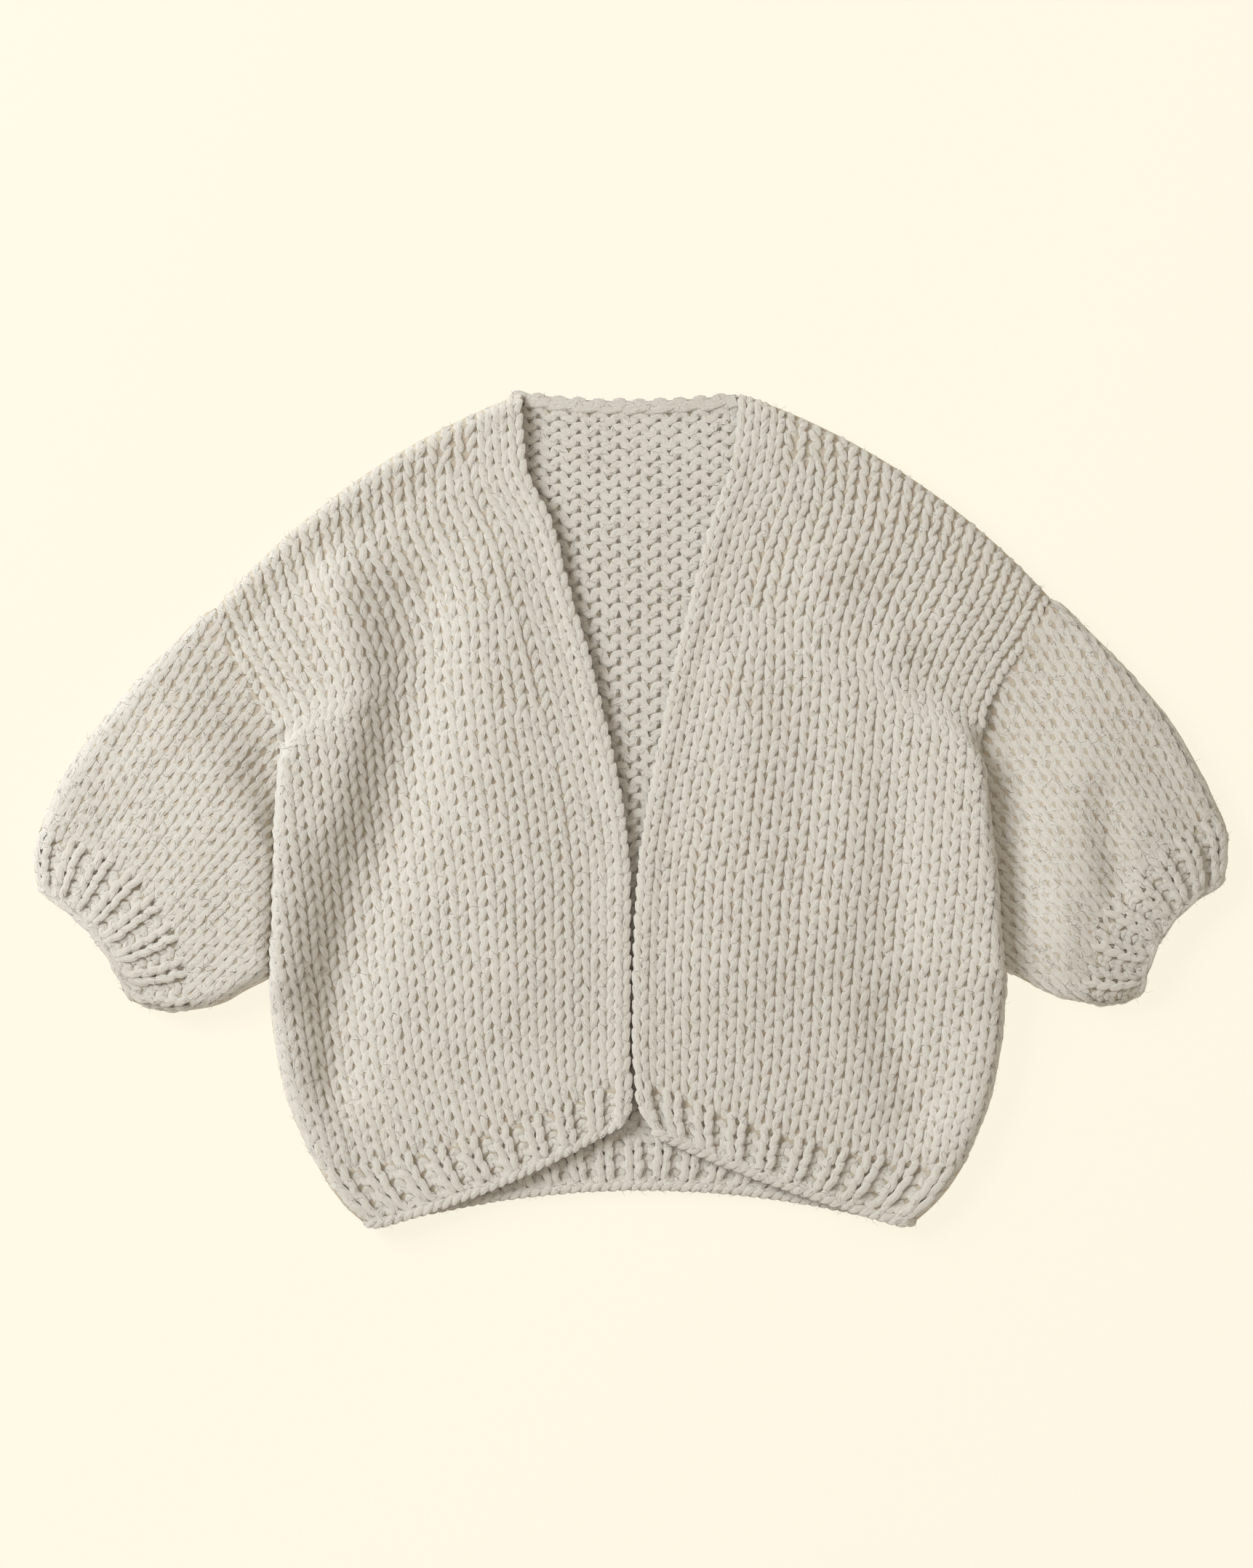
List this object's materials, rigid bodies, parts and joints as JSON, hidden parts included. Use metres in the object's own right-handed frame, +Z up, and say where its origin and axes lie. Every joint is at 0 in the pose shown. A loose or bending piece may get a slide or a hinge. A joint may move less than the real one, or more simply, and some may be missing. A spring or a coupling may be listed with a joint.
{
  "type": "short-sleeve cardigan",
  "caption": "Open-front short-sleeve cardigan of super-chunky wool knit with balloon sleeves, ribbed hem and cuffs, laid flat on its back.",
  "frame": {"origin": "middle of the garment's bounding box in plan, on the surface it lies on", "axes": "+Z up from the surface, +Y towards the neck, +X towards the wearer's left sleeve"},
  "size_m": [0.8565, 0.5996, 0.0337],
  "materials": {
    "knit": "matte super-chunky wool, stocking stitch",
    "rib": "matte super-chunky wool, one by one rib"
  },
  "bodies": {
    "root": {"back": "knit", "hem_back": "rib", "front_right": "knit", "front_left": "knit", "hem_front_right": "rib", "hem_front_left": "rib", "sleeve_right": "knit", "sleeve_left": "knit", "cuff_right": "rib", "cuff_left": "rib"}
  },
  "joints": []
}
